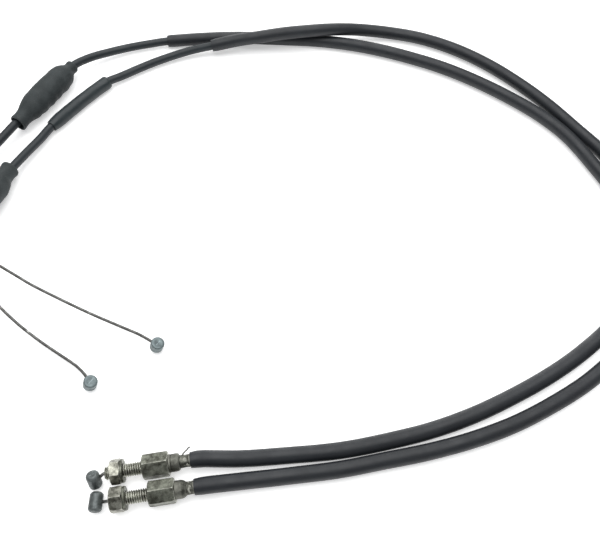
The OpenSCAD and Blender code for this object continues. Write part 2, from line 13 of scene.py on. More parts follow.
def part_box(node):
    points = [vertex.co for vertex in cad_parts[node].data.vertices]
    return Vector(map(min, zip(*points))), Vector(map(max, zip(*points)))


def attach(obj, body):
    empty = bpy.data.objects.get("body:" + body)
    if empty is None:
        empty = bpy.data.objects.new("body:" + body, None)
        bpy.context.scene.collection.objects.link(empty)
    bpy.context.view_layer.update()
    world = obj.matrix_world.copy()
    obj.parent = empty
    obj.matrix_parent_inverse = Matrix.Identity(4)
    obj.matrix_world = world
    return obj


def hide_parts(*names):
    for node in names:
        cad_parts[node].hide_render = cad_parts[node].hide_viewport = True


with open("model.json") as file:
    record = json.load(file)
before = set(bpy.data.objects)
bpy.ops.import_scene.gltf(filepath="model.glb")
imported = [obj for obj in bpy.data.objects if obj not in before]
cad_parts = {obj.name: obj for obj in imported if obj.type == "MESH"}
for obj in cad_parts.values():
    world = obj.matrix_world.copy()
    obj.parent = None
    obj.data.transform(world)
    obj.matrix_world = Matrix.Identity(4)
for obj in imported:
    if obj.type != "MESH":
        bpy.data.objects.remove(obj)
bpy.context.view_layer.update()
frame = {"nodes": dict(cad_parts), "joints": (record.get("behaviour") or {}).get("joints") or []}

MM = 0.001
TAU = 2 * math.pi
SIDES = ("pull", "return")
JOINTS = {joint["name"]: joint for joint in frame["joints"]}


# ---------------------------------------------------------------- camera and stage

SENSOR_MM = 36
LENS_MM = 40.44
CAMERA_AT = (0.1225, -0.187, 0.306)
CAMERA_TILT_DEG = 30
FLOOR_HALF_M = 3.0
FLOOR_AT = (0.1, 0, -0.0002)
FLOOR_GLOW = 0.42
SKY_STRENGTH = 0.33


def make_camera():
    data = bpy.data.cameras.new("camera")
    data.sensor_width = SENSOR_MM
    data.lens = LENS_MM
    data.clip_start = 0.01
    camera = bpy.data.objects.new("camera", data)
    camera.location = CAMERA_AT
    camera.rotation_euler = (math.radians(CAMERA_TILT_DEG), 0, 0)
    bpy.context.scene.collection.objects.link(camera)
    bpy.context.scene.camera = camera


def area_light(name, place, aim, size, power):
    data = bpy.data.lights.new(name, "AREA")
    data.shape = "DISK"
    data.size = size
    data.energy = power
    light = bpy.data.objects.new(name, data)
    light.location = place
    way = Vector(aim) - Vector(place)
    light.rotation_euler = way.to_track_quat("-Z", "Y").to_euler()
    bpy.context.scene.collection.objects.link(light)


def make_lights():
    world = bpy.data.worlds.new("studio")
    world.use_nodes = True
    background = world.node_tree.nodes["Background"]
    background.inputs["Color"].default_value = (0.97, 0.985, 1, 1)
    background.inputs["Strength"].default_value = SKY_STRENGTH
    bpy.context.scene.world = world
    area_light("overhead", (0.1, 0.2, 1.0), (0.1, 0.0, 0), 1.5, 14)
    area_light("far_card", (0.05, 1.2, 0.4), (0.05, 0, 0), 0.9, 5)
    bpy.context.scene.view_settings.view_transform = "Standard"


def make_floor():
    half = FLOOR_HALF_M
    mesh = bpy.data.meshes.new("floor")
    corners = [(-half, -half, 0), (half, -half, 0), (half, half, 0), (-half, half, 0)]
    mesh.from_pydata(corners, [], [(0, 1, 2, 3)])
    floor = bpy.data.objects.new("floor", mesh)
    floor.location = FLOOR_AT
    bpy.context.scene.collection.objects.link(floor)
    material = bpy.data.materials.new("floor_white")
    material.use_nodes = True
    shader = material.node_tree.nodes["Principled BSDF"]
    shader.inputs["Base Color"].default_value = (0.93, 0.93, 0.93, 1)
    shader.inputs["Roughness"].default_value = 0.3
    shader.inputs["Emission Color"].default_value = (1, 1, 1, 1)
    shader.inputs["Emission Strength"].default_value = FLOOR_GLOW
    mesh.materials.append(material)


make_camera()
make_lights()
make_floor()


# ---------------------------------------------------------------- materials

class Paint:
    """A Principled material, with short ways to add the nodes that pattern it."""

    def __init__(self, name, metallic=0.0):
        self.material = bpy.data.materials.new(name)
        self.material.use_nodes = True
        self.tree = self.material.node_tree
        self.shader = self.tree.nodes["Principled BSDF"]
        self.shader.inputs["Metallic"].default_value = metallic
        self.where = self.tree.nodes.new("ShaderNodeTexCoord").outputs["Object"]
        self.normal = None

    def link(self, source, target):
        self.tree.links.new(source, target)

    def noise(self, scale, detail=3.0, rough=0.55, stretch=None):
        node = self.tree.nodes.new("ShaderNodeTexNoise")
        node.inputs["Scale"].default_value = scale
        node.inputs["Detail"].default_value = detail
        node.inputs["Roughness"].default_value = rough
        source = self.where
        if stretch:
            mapping = self.tree.nodes.new("ShaderNodeMapping")
            mapping.inputs["Scale"].default_value = stretch
            self.link(source, mapping.inputs["Vector"])
            source = mapping.outputs["Vector"]
        self.link(source, node.inputs["Vector"])
        return node.outputs["Fac"]

    def spread(self, value, low, high, to_low, to_high):
        node = self.tree.nodes.new("ShaderNodeMapRange")
        for key, number in (("From Min", low), ("From Max", high),
                            ("To Min", to_low), ("To Max", to_high)):
            node.inputs[key].default_value = number
        self.link(value, node.inputs["Value"])
        return node.outputs["Result"]

    def mix(self, value, first, second):
        """A colour that runs from first to second as value goes from 0 to 1."""
        node = self.tree.nodes.new("ShaderNodeMix")
        node.data_type = "RGBA"
        self.link(value, node.inputs[0])
        for socket, colour in ((node.inputs[6], first), (node.inputs[7], second)):
            if isinstance(colour, tuple):
                socket.default_value = (*colour, 1)
            else:
                self.link(colour, socket)
        return node.outputs[2]

    def colour(self, source):
        self.link(source, self.shader.inputs["Base Color"])

    def roughness(self, source):
        self.link(source, self.shader.inputs["Roughness"])

    def bump(self, height, depth_mm, strength=1.0):
        node = self.tree.nodes.new("ShaderNodeBump")
        node.inputs["Strength"].default_value = strength
        node.inputs["Distance"].default_value = depth_mm * MM
        self.link(height, node.inputs["Height"])
        if self.normal:
            self.link(self.normal, node.inputs["Normal"])
        self.normal = node.outputs["Normal"]
        self.link(self.normal, self.shader.inputs["Normal"])

    def edges(self, low=0.52, high=0.6):
        """0 on flat and hollow surface, 1 on convex edges."""
        geometry = self.tree.nodes.new("ShaderNodeNewGeometry")
        return self.spread(geometry.outputs["Pointiness"], low, high, 0, 1)


def plated(name, clean, stained, edge, rough=0.38):
    """Tarnished zinc plate: blotches, dark specks, bright worn edges."""
    paint = Paint(name, 0.9)
    blotch = paint.spread(paint.noise(260, 5, 0.65), 0.38, 0.62, 0, 1)
    base = paint.mix(blotch, clean, stained)
    speck = paint.spread(paint.noise(1500, 2), 0.56, 0.7, 0, 0.55)
    base = paint.mix(speck, base, tuple(0.3 * c for c in stained))
    base = paint.mix(paint.edges(), base, edge)
    paint.colour(base)
    paint.roughness(paint.spread(paint.noise(420, 4), 0.3, 0.7, rough - 0.12, rough + 0.2))
    paint.bump(paint.noise(900, 4, 0.6), 0.05)
    paint.bump(paint.noise(3200, 2), 0.012)
    return paint.material


def cast(name, light, dark, rough):
    """Die-cast zinc with a sandy skin."""
    paint = Paint(name, 0.75)
    base = paint.mix(paint.spread(paint.noise(420, 4), 0.35, 0.65, 0, 1), light, dark)
    base = paint.mix(paint.edges(0.51, 0.58), base, tuple(min(1.0, 1.5 * c) for c in light))
    paint.colour(base)
    paint.roughness(paint.spread(paint.noise(700, 3), 0.3, 0.7, rough - 0.08, rough + 0.14))
    paint.bump(paint.noise(1600, 4, 0.7), 0.05)
    return paint.material


def vinyl(name, base, worn, rough, grain_mm=0.02):
    """Extruded plastic: dust and scuffs."""
    paint = Paint(name)
    cloud = paint.spread(paint.noise(55, 4), 0.35, 0.7, 0, 1)
    tone = paint.mix(cloud, base, worn)
    scuff = paint.spread(paint.noise(900, 6, 0.75), 0.6, 0.74, 0, 0.5)
    paint.colour(paint.mix(scuff, tone, tuple(1.9 * c + 0.01 for c in worn)))
    paint.roughness(paint.spread(paint.noise(160, 5), 0.3, 0.7, rough - 0.07, rough + 0.1))
    paint.shader.inputs["Specular IOR Level"].default_value = 0.42
    paint.bump(paint.noise(1400, 4, 0.6), grain_mm)
    paint.bump(paint.noise(240, 3), 0.06)
    return paint.material


def rubber(name, base, dusty):
    """Moulded rubber: dust in blotches, fine pitting, no gloss."""
    paint = Paint(name)
    dust = paint.spread(paint.noise(150, 6, 0.7), 0.4, 0.68, 0, 1)
    tone = paint.mix(dust, base, dusty)
    fleck = paint.spread(paint.noise(2600, 2), 0.62, 0.72, 0, 0.45)
    paint.colour(paint.mix(fleck, tone, tuple(2.0 * c for c in dusty)))
    paint.roughness(paint.spread(paint.noise(300, 4), 0.3, 0.7, 0.55, 0.78))
    paint.shader.inputs["Specular IOR Level"].default_value = 0.3
    paint.bump(paint.noise(330, 5, 0.65), 0.16)
    paint.bump(paint.noise(2400, 3), 0.03)
    return paint.material


def residue(name, light, dark):
    """Chalky white corrosion and old glue."""
    paint = Paint(name)
    paint.colour(paint.mix(paint.spread(paint.noise(800, 5), 0.35, 0.65, 0, 1), light, dark))
    paint.shader.inputs["Roughness"].default_value = 0.8
    paint.bump(paint.noise(1200, 5, 0.7), 0.15)
    return paint.material


MATERIALS = {
    "plated_steel": plated("plated_steel", (0.255, 0.265, 0.22), (0.065, 0.066, 0.052),
                           (0.88, 0.88, 0.80), 0.36),
    "plated_nut": plated("plated_nut", (0.42, 0.42, 0.36), (0.10, 0.098, 0.08),
                         (0.92, 0.92, 0.84), 0.34),
    "thread_steel": plated("thread_steel", (0.42, 0.43, 0.37), (0.13, 0.13, 0.105),
                           (0.90, 0.90, 0.82), 0.28),
    "dull_steel": plated("dull_steel", (0.135, 0.138, 0.118), (0.045, 0.046, 0.038),
                         (0.34, 0.34, 0.30), 0.5),
    "cast_nipple": cast("cast_nipple", (0.15, 0.165, 0.165), (0.08, 0.09, 0.09), 0.5),
    "bright_nipple": cast("bright_nipple", (0.165, 0.20, 0.205), (0.09, 0.11, 0.115), 0.42),
    "wire": plated("wire", (0.18, 0.18, 0.172), (0.09, 0.09, 0.086), (0.42, 0.42, 0.40), 0.42),
    "armour_steel": plated("armour_steel", (0.33, 0.33, 0.32), (0.18, 0.175, 0.16),
                           (0.6, 0.6, 0.58), 0.4),
    "sleeve_plastic": vinyl("sleeve_plastic", (0.0125, 0.0145, 0.018), (0.018, 0.021, 0.025),
                            0.46),
    "casing_plastic": vinyl("casing_plastic", (0.012, 0.017, 0.021), (0.018, 0.024, 0.028), 0.46),
    "shrink_plastic": vinyl("shrink_plastic", (0.014, 0.021, 0.024), (0.022, 0.030, 0.033), 0.42,
                            0.05),
    "boot_rubber": rubber("boot_rubber", (0.026, 0.032, 0.033), (0.046, 0.054, 0.056)),
    "liner_plastic": vinyl("liner_plastic", (0.74, 0.72, 0.66), (0.62, 0.60, 0.54), 0.35),
    "residue": residue("residue", (0.42, 0.42, 0.37), (0.16, 0.16, 0.135)),
}


# ---------------------------------------------------------------- mesh helpers

def finish_mesh(name, points, faces, material, sharp_deg=32):
    """One object from points and faces, smooth but with sharp creases."""
    mesh = bpy.data.meshes.new(name)
    mesh.from_pydata([tuple(p) for p in points], [], faces)
    mesh.validate()
    mesh.materials.append(MATERIALS[material])
    mesh.shade_smooth()
    mesh.set_sharp_from_angle(angle=math.radians(sharp_deg))
    piece = bpy.data.objects.new(name, mesh)
    bpy.context.scene.collection.objects.link(piece)
    return piece


def wall_faces(rows, sides, closed=False):
    """Quads between neighbouring rings; closed joins the last ring to the first."""
    faces = []
    for i in range(rows if closed else rows - 1):
        low = i * sides
        high = (i + 1) % rows * sides
        for k in range(sides):
            n = (k + 1) % sides
            faces.append((low + k, low + n, high + n, high + k))
    return faces


def smooth_route(points, step):
    """Points a step apart on a Catmull-Rom curve through the given points."""
    pts = [Vector(p) for p in points]
    pts = [2 * pts[0] - pts[1]] + pts + [2 * pts[-1] - pts[-2]]
    fine = []
    for a, b, c, d in zip(pts, pts[1:], pts[2:], pts[3:]):
        t1 = (b - a).length ** 0.5
        t2 = t1 + (c - b).length ** 0.5
        t3 = t2 + (d - c).length ** 0.5
        count = max(2, int((c - b).length / step * 2))
        for i in range(count):
            t = t1 + (t2 - t1) * i / count
            a1 = a * ((t1 - t) / t1) + b * (t / t1)
            a2 = b * ((t2 - t) / (t2 - t1)) + c * ((t - t1) / (t2 - t1))
            a3 = c * ((t3 - t) / (t3 - t2)) + d * ((t - t2) / (t3 - t2))
            b1 = a1 * ((t2 - t) / t2) + a2 * (t / t2)
            b2 = a2 * ((t3 - t) / (t3 - t1)) + a3 * ((t - t1) / (t3 - t1))
            fine.append(b1 * ((t2 - t) / (t2 - t1)) + b2 * ((t - t1) / (t2 - t1)))
    fine.append(pts[-2])
    return even_route(fine, step)


def even_route(fine, step):
    """The same line with its points a step apart, both ends kept."""
    total = route_length(fine)
    count = max(2, round(total / step))
    out, gone, k = [fine[0]], 0.0, 0
    for i in range(1, count):
        want = total * i / count
        while gone + (fine[k + 1] - fine[k]).length < want:
            gone += (fine[k + 1] - fine[k]).length
            k += 1
        part = (want - gone) / (fine[k + 1] - fine[k]).length
        out.append(fine[k].lerp(fine[k + 1], part))
    out.append(fine[-1])
    return out


def route_length(points):
    return sum((b - a).length for a, b in zip(points, points[1:]))


def route_frames(points):
    """A side and an up direction at each point, square to the line."""
    frames = []
    for i, point in enumerate(points):
        after = points[min(i + 1, len(points) - 1)]
        before = points[max(i - 1, 0)]
        way = (after - before).normalized()
        side = Vector((0, 0, 1)).cross(way).normalized()
        frames.append((point, side, way.cross(side)))
    return frames


def sweep(name, points, radius, sides, material, inner=None, sharp_deg=40):
    """A tube along a line. radius(distance, angle) gives its surface; inner, if
    any, is the radius of a hole along it."""
    rings, gone, last = [], 0.0, points[0]
    frames = route_frames(points)
    for point, side, up in frames:
        gone += (point - last).length
        last = point
        rings.append([point + radius(gone, TAU * k / sides)
                      * (math.cos(TAU * k / sides) * side + math.sin(TAU * k / sides) * up)
                      for k in range(sides)])
    rows = len(rings)
    flat = [p for ring in rings for p in ring]
    if inner:
        for point, side, up in reversed(frames):
            flat += [point + inner * (math.cos(TAU * k / sides) * side
                                      + math.sin(TAU * k / sides) * up)
                     for k in range(sides)]
        faces = wall_faces(2 * rows, sides, closed=True)
    else:
        faces = wall_faces(rows, sides)
        faces += [tuple(reversed(range(sides))),
                  tuple((rows - 1) * sides + k for k in range(sides))]
    return finish_mesh(name, flat, faces, material, sharp_deg)


def turned(name, stations, sides, material, place, hollow=True, sharp_deg=32, shift=None):
    """A turned piece: stations are (z, radius) in millimetres along its axis, where
    radius may be a function of angle. A hollow one closes its last station onto its
    first; a solid one is capped."""
    points = []
    for z, radius in stations:
        dx, dy = shift(z) if shift else (0, 0)
        for k in range(sides):
            angle = TAU * k / sides
            r = radius(angle) if callable(radius) else radius
            points.append(place @ (MM * Vector((r * math.cos(angle) + dx,
                                                r * math.sin(angle) + dy, z))))
    faces = wall_faces(len(stations), sides, closed=hollow)
    if not hollow:
        last = (len(stations) - 1) * sides
        faces += [tuple(reversed(range(sides))), tuple(last + k for k in range(sides))]
    return finish_mesh(name, points, faces, material, sharp_deg)


def join(name, *parts):
    """Several meshes made into one object."""
    points, faces, slots = [], [], []
    materials = []
    for part in parts:
        base = len(points)
        points += [v.co.copy() for v in part.data.vertices]
        faces += [tuple(base + i for i in p.vertices) for p in part.data.polygons]
        if part.data.materials[0] not in materials:
            materials.append(part.data.materials[0])
        slots += [materials.index(part.data.materials[0])] * len(part.data.polygons)
        bpy.data.objects.remove(part)
    mesh = bpy.data.meshes.new(name)
    mesh.from_pydata([tuple(p) for p in points], [], faces)
    for material in materials:
        mesh.materials.append(material)
    mesh.polygons.foreach_set("material_index", slots)
    mesh.shade_smooth()
    mesh.set_sharp_from_angle(angle=math.radians(32))
    piece = bpy.data.objects.new(name, mesh)
    bpy.context.scene.collection.objects.link(piece)
    return piece


def seat(point, axis, turn_deg=0.0):
    """A frame whose Z runs along axis and whose X points down, as the CAD lays
    its fittings."""
    z = Vector(axis).normalized()
    level = math.hypot(z.x, z.y)
    x = Vector((z.z * z.x / level, z.z * z.y / level, -level))
    y = z.cross(x)
    basis = Matrix((x, y, z)).transposed().to_4x4()
    return Matrix.Translation(Vector(point)) @ basis @ Matrix.Rotation(
        math.radians(turn_deg), 4, "Z")


def at_joint(name, turn_deg=0.0):
    joint = JOINTS[name]
    return seat(joint["pos_m"], joint["axis"], turn_deg)


# ---------------------------------------------------------------- routes, as in part.scad

def mm(points):
    return [MM * Vector(p) for p in points]


ADJUSTER_WAY = Vector(JOINTS["pull_adjuster_spin"]["axis"])
TIP = {side: Vector(JOINTS[side + "_adjuster_spin"]["pos_m"]) for side in SIDES}
NECK = {side: Vector(JOINTS[side + "_inline_barrel_turn"]["pos_m"]) for side in SIDES}
BOOT_WAY = {side: Vector(JOINTS[side + "_inline_barrel_turn"]["axis"]) for side in SIDES}
PIPE_TIP = {side: Vector(JOINTS[side + "_union_nut_spin"]["pos_m"]) for side in SIDES}
PIPE_WAY = {side: Vector(JOINTS[side + "_union_nut_spin"]["axis"]) for side in SIDES}

PULL_SLEEVE = mm([
    (95.5, -109.8, 4.3), (117.5, -108.2, 3.9), (140.5, -106, 3.9), (162.5, -101.8, 3.9),
    (182.5, -96.8, 3.9), (202.5, -89.7, 3.9), (222.5, -80.5, 3.9), (242.5, -69.6, 3.9),
    (261.5, -56.8, 3.9), (278.5, -42, 3.9), (289.7, -24.6, 3.9), (297.6, -4.8, 3.9),
    (300, 16, 3.9), (297, 37, 3.9), (289, 57, 3.9), (278.5, 78, 3.9),
    (266.5, 93, 3.9), (250.5, 107.5, 3.9), (232.5, 121, 3.9), (212.5, 133.2, 3.9),
    (192.5, 142.3, 3.9), (172.5, 149.6, 3.9), (152.5, 154.8, 3.9), (130.5, 158.2, 3.9),
    (107.5, 159.6, 3.9), (83.5, 160.7, 3.9), (60.5, 159.8, 3.9), (37.5, 157.5, 3.9)])
PULL_CASING = mm([
    (26.1, 155.4, 3.6), (13.5, 151.8, 3.8), (1.8, 146.5, 4.8), (-9.1, 139.6, 6.6)])
RETURN_SLEEVE = mm([
    (96.5, -119.6, 4.3), (117.5, -117.2, 3.9), (140.2, -114.4, 3.9), (160.5, -110.5, 3.9),
    (182, -106.2, 3.9), (202.5, -100.6, 3.9), (222.5, -93.2, 3.9), (242.5, -83.2, 3.9),
    (260.5, -72.2, 3.9), (278.5, -57.4, 3.9), (292.1, -40.5, 3.9), (302, -21.2, 3.9),
    (307.6, -0.2, 3.9), (308.8, 21.5, 3.9), (305.4, 43, 3.9), (297.6, 63.3, 3.9),
    (285.3, 82.5, 3.9), (271, 103.3, 3.9), (255.5, 121.6, 3.9), (237.5, 138.6, 3.9),
    (218.5, 151.6, 3.9), (200.5, 160, 3.9), (182.5, 164.5, 4.2), (162.5, 164.8, 6.6),
    (148.1, 161.6, 9.9), (135.5, 158.4, 12.1), (122.5, 156.6, 12.3), (109.5, 155.3, 11.6),
    (96.5, 154.4, 9.9), (82.5, 153.6, 8), (66.5, 151, 5.9)])
RETURN_CASING = mm([
    (52.5, 148.2, 4.4), (34, 140.7, 3.4), (22.1, 133.8, 3.3), (11, 126.2, 3.6),
    (4, 121.4, 4.1), (-4.9, 111, 4.1), (-14.5, 98.5, 4.1), (-23.9, 85.2, 4.1),
    (-29, 74.6, 4.3), (-33.3, 66.4, 4.8)])
PULL_GRIP = mm([(-44.3, 82.8, 7.7), (-48, 76, 7.4), (-51.2, 70.2, 7.1)])
FREE_WIRE = {
    "pull": mm([(-14.2, -22.5, 6.8), (2.3, -30.7, 5.8), (18.2, -37.9, 4.2), (33.5, -44.2, 2.7),
                (42.7, -48.2, 2.6), (47.5, -51, 3.1), (51.4, -53.6, 3.7)]),
    "return": mm([(-10.5, -48.1, 2.4), (-5, -51.9, 1.8), (5.8, -58.8, 1.2), (14.1, -64.2, 1.5),
                  (19.3, -68.9, 2.7), (22.3, -72.6, 3.6)]),
}
CARB_WIRE = {
    "pull": mm([(36.4, -116.8, 5.9), (35.4, -117.6, 5.6), (34.4, -118.4, 5.1)]),
    "return": mm([(40.1, -128.2, 5.8), (38.7, -128.3, 4.8), (37.5, -128.1, 3.7),
                  (35.9, -128, 3.2)]),
}

SLEEVE_R = 3.85 * MM
SLEEVE_BORE_R = 2.62 * MM
SHRINK_R = 4.0 * MM
CASING_R = 2.5 * MM
CASING_BORE_R = 2.15 * MM
CASING_STEP = 3.0 * MM
WIRE_R = 0.75 * MM
WIRE_STEP = 0.5 * MM
STRANDS = 6
STRAND_LAY = 9 * MM
PIPE_BORE_R = 1.9 * MM
PIPE_R_MM = 2.74
FLARE_R_MM = 3.58
FLARE_LEN_MM = 1.75
CRIMP_END_MM = {"pull": 37.1, "return": 35.9}
SLEEVE_START_MM = {"pull": 37.3, "return": 36.1}
STRAIGHT_TO_MM = 41
CASING_SEAT_MM = 22.3
PULL_CASING_END_MM = 17.9
RETURN_CASING_END_MM = 35.2
GRIP_CASING_START_MM = 36.1
GRIP_CASING_STRAIGHT_TO_MM = 45.5
COLLAR_MOUTH_MM = 33
COLLAR_SEAT_MM = 26.1
PIPE_TIP_MM = {"pull": 48, "return": 37}
BOOT_LEN_MM = {"pull": 53, "return": 47.2}
LEG_IN = {"pull": (-119, 0), "return": (-110.5, 7.4)}
LEG_OUT = {"pull": (-31, 0), "return": (-43.5, -10.2)}
BEND_R_MM = {"pull": 18, "return": 12}
HEX_FLATS_MM = 10
UNION_FLATS_MM = 12
THREAD_PITCH_MM = 1.0
STUD_R_MM = 2.99
STUD_LEN_MM = 16.35
SPIGOT_R_MM = 4.98
UNION_BORE_R_MM = 2.8
GRIP_STUB = 0.5 * MM
GRIP_STRAIGHT = 24 * MM
# How far a grip wire leans off its pipe's line at the end of its straight. The bore has
# room for it when the wire slides in.
GRIP_LEAN = {"pull": 0, "return": 0.9 * MM}
CORNER = {side: PIPE_TIP[side] - PIPE_TIP_MM[side] * MM * PIPE_WAY[side] for side in SIDES}


def along(heading, pitch):
    h, p = math.radians(heading), math.radians(pitch)
    return Vector((math.cos(p) * math.cos(h), math.cos(p) * math.sin(h), math.sin(p)))


def on_adjuster(side, distance_mm):
    return TIP[side] + distance_mm * MM * ADJUSTER_WAY


def on_inline(side, distance_mm):
    return NECK[side] + distance_mm * MM * BOOT_WAY[side]


def elbow_route(side, from_mm):
    """The elbow's centreline, from a place before the corner to its tip."""
    a, b, r = along(*LEG_IN[side]), along(*LEG_OUT[side]), BEND_R_MM[side] * MM
    angle = a.angle(b)
    tangent = r * math.tan(angle / 2)
    inward = (b - a.dot(b) * a).normalized()
    start = CORNER[side] - tangent * a
    centre = start + r * inward
    steps = 28
    turns = [angle * i / steps for i in range(steps + 1)]
    bend = [centre + r * (math.sin(turn) * a - math.cos(turn) * inward) for turn in turns]
    return [CORNER[side] - from_mm * MM * a, *bend, PIPE_TIP[side]]


# ---------------------------------------------------------------- cords

def lay_cords():
    """Sleeves, casings and the shrink tube."""
    for side, route, casing in (("pull", PULL_SLEEVE, PULL_CASING),
                                ("return", RETURN_SLEEVE, RETURN_CASING)):
        start = [on_adjuster(side, SLEEVE_START_MM[side]), on_adjuster(side, STRAIGHT_TO_MM)]
        line = smooth_route(start + route, CASING_STEP)
        seed = 3.1 if side == "pull" else 8.7

        def sleeve_surface(gone, angle, seed=seed, total=route_length(line)):
            lump = noise.noise(Vector((gone / 0.021, 1.6 * math.cos(angle) + seed,
                                       1.6 * math.sin(angle))))
            end = min(gone, total - gone) / (1.2 * MM)
            lip = 0.93 + 0.07 * min(1.0, end) ** 0.5
            oval = 1 + 0.012 * math.cos(2 * angle + gone / 0.05 + seed)
            return SLEEVE_R * 0.985 * oval * lip + 0.07 * MM * lump

        sleeve = sweep(side + "_sleeve_skin", line, sleeve_surface, 32, "sleeve_plastic",
                       inner=SLEEVE_BORE_R)
        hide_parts(side + "_sleeve")
        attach(sleeve, "root")

        inside = [on_adjuster(side, CASING_SEAT_MM), on_adjuster(side, SLEEVE_START_MM[side]),
                  on_adjuster(side, STRAIGHT_TO_MM)]
        if side == "pull":
            ending = [on_inline(side, 0), on_inline(side, PULL_CASING_END_MM)]
        else:
            ending = [on_inline(side, BOOT_LEN_MM[side]),
                      on_inline(side, RETURN_CASING_END_MM)]
        jacket_line = smooth_route(inside + route + casing + ending, CASING_STEP)
        jacket = casing_piece(side + "_casing_skin", jacket_line, seed + 4)
        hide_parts(side + "_jacket")

    collar_mouth = CORNER["pull"] - COLLAR_MOUTH_MM * MM * along(*LEG_IN["pull"])
    collar_seat = CORNER["pull"] - COLLAR_SEAT_MM * MM * along(*LEG_IN["pull"])
    grip_line = smooth_route([on_inline("pull", GRIP_CASING_START_MM),
                              on_inline("pull", GRIP_CASING_STRAIGHT_TO_MM), *PULL_GRIP,
                              collar_mouth, collar_seat], 2.5 * MM)
    grip_casing = casing_piece("pull_grip_casing_skin", grip_line, 21.0)
    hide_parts("pull_grip_jacket")

    shrink_line = smooth_route(RETURN_CASING[4:8], 1.0 * MM)
    total = route_length(shrink_line)

    def shrink_surface(gone, angle):
        place = Vector((gone / 0.006, 1.5 * math.cos(angle), 1.5 * math.sin(angle) + 5))
        ripple = 0.11 * noise.noise(place) + 0.05 * noise.noise(3 * place)
        far = total - gone
        near_lip = min(1.0, gone / (1.0 * MM)) ** 0.5
        taper = 1 - 0.16 * max(0.0, 1 - far / (7 * MM)) ** 1.5
        return SHRINK_R * (0.9 + 0.1 * near_lip) * taper * 0.985 + ripple * MM

    shrink = sweep("return_shrink_skin", shrink_line, shrink_surface, 40, "shrink_plastic",
                   inner=SLEEVE_BORE_R)
    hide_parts("return_shrink_sleeve")
    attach(shrink, "root")


def casing_piece(name, line, seed):
    """The jacket of a casing, hollow along a line."""
    def surface(gone, angle):
        lump = noise.noise(Vector((gone / 0.017 + seed, 1.2 * math.cos(angle),
                                   1.2 * math.sin(angle))))
        return CASING_R * 0.99 + 0.035 * MM * lump

    piece = sweep(name, line, surface, 24, "casing_plastic", inner=CASING_BORE_R)
    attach(piece, "root")
    return piece


def strand_surface(gone, angle):
    """A stranded wire's outline: round strands that twist along it."""
    turn = (STRANDS * (angle - TAU * gone / STRAND_LAY)) % TAU / TAU
    bulge = math.sqrt(max(0.0, 1 - (2 * turn - 1) ** 2))
    return WIRE_R * (0.84 + 0.16 * bulge)


def free_wires():
    """The bare wires and nipples at the grip end."""
    for side in SIDES:
        tip, way = PIPE_TIP[side], PIPE_WAY[side]
        nipple = nipple_piece(side + "_grip_nipple_cast", side + "_grip_nipple",
                              side + "_wire_in", 3.3, 5.5, (0, 20, 0), "bright_nipple")
        aside = Vector((0, 0, 1)).cross(way)
        line = smooth_route([tip - GRIP_STUB * way, tip, tip + 0.5 * GRIP_STRAIGHT * way,
                             tip + GRIP_STRAIGHT * way + GRIP_LEAN[side] * aside,
                             *FREE_WIRE[side]], WIRE_STEP)
        wire = sweep(side + "_grip_wire_strands", line, strand_surface, 30, "wire",
                     sharp_deg=75)
        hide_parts(side + "_wire_grip_end")
        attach(wire, side + "_wire_in")


def carb_wires():
    """The short wires between the adjusters and the carburettor nipples."""
    for side in SIDES:
        line = smooth_route([on_adjuster(side, 37), on_adjuster(side, 1), on_adjuster(side, 0),
                             *CARB_WIRE[side]], WIRE_STEP)
        wire = sweep(side + "_carb_wire_strands", line, strand_surface, 30, "wire",
                     sharp_deg=75)
        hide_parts(side + "_wire_carb_end")
        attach(wire, side + "_wire_out")


# ---------------------------------------------------------------- fittings

def nipple_piece(name, node, body, r, length, lean, material, slope=0.4):
    """A cast barrel with sloped rims and a shallow dimple on each end."""
    low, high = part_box(node)
    turn = Euler([math.radians(a) for a in lean]).to_matrix().to_4x4()
    place = Matrix.Translation((low + high) / 2) @ turn
    half = length / 2
    top_r = r - slope

    def skin(base, z):
        def radius(angle):
            seam = 0.03 * math.exp(-(math.cos(angle) / 0.06) ** 2)
            grain = 0.05 * noise.noise(Vector((2 * math.cos(angle), 2 * math.sin(angle),
                                               0.8 * z)) + 3 * low / MM)
            return base - 0.05 + seam + grain
        return radius

    rim = [(-half + 0.1, 0.02), (-half + 0.1, 0.45 * top_r), (-half, 0.6 * top_r),
           (-half, top_r - 0.12), (-half + 0.06, top_r), (-half + 0.5 * slope, r - 0.42 * slope),
           (-half + slope, r - 0.04), (-half + slope + 0.15, r)]
    belly = [(z * (half - slope - 0.15) / 4, r) for z in range(-3, 4)]
    outline = rim + belly + [(-z, radius) for z, radius in reversed(rim)]
    stations = [(z, skin(base, z) if base > 0.7 * r else base) for z, base in outline]
    piece = turned(name, stations, 48, material, place, hollow=False, sharp_deg=50)
    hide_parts(node)
    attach(piece, body)
    return piece


def hex_radius(flats, corner_r=0.45):
    """Distance from the axis to a hexagon's side, with rounded corners. A corner
    lies at angle 0."""
    apothem = flats / 2
    centre = (apothem - corner_r) / math.cos(math.pi / 6)
    edge = math.atan2(corner_r * 0.5, centre + corner_r * math.cos(math.pi / 6))

    def radius(angle):
        part = abs((angle + math.pi / 6) % (math.pi / 3) - math.pi / 6)
        if part < edge:
            return centre * math.cos(part) + math.sqrt(
                corner_r ** 2 - (centre * math.sin(part)) ** 2)
        return apothem / math.cos(math.pi / 6 - part)
    return radius


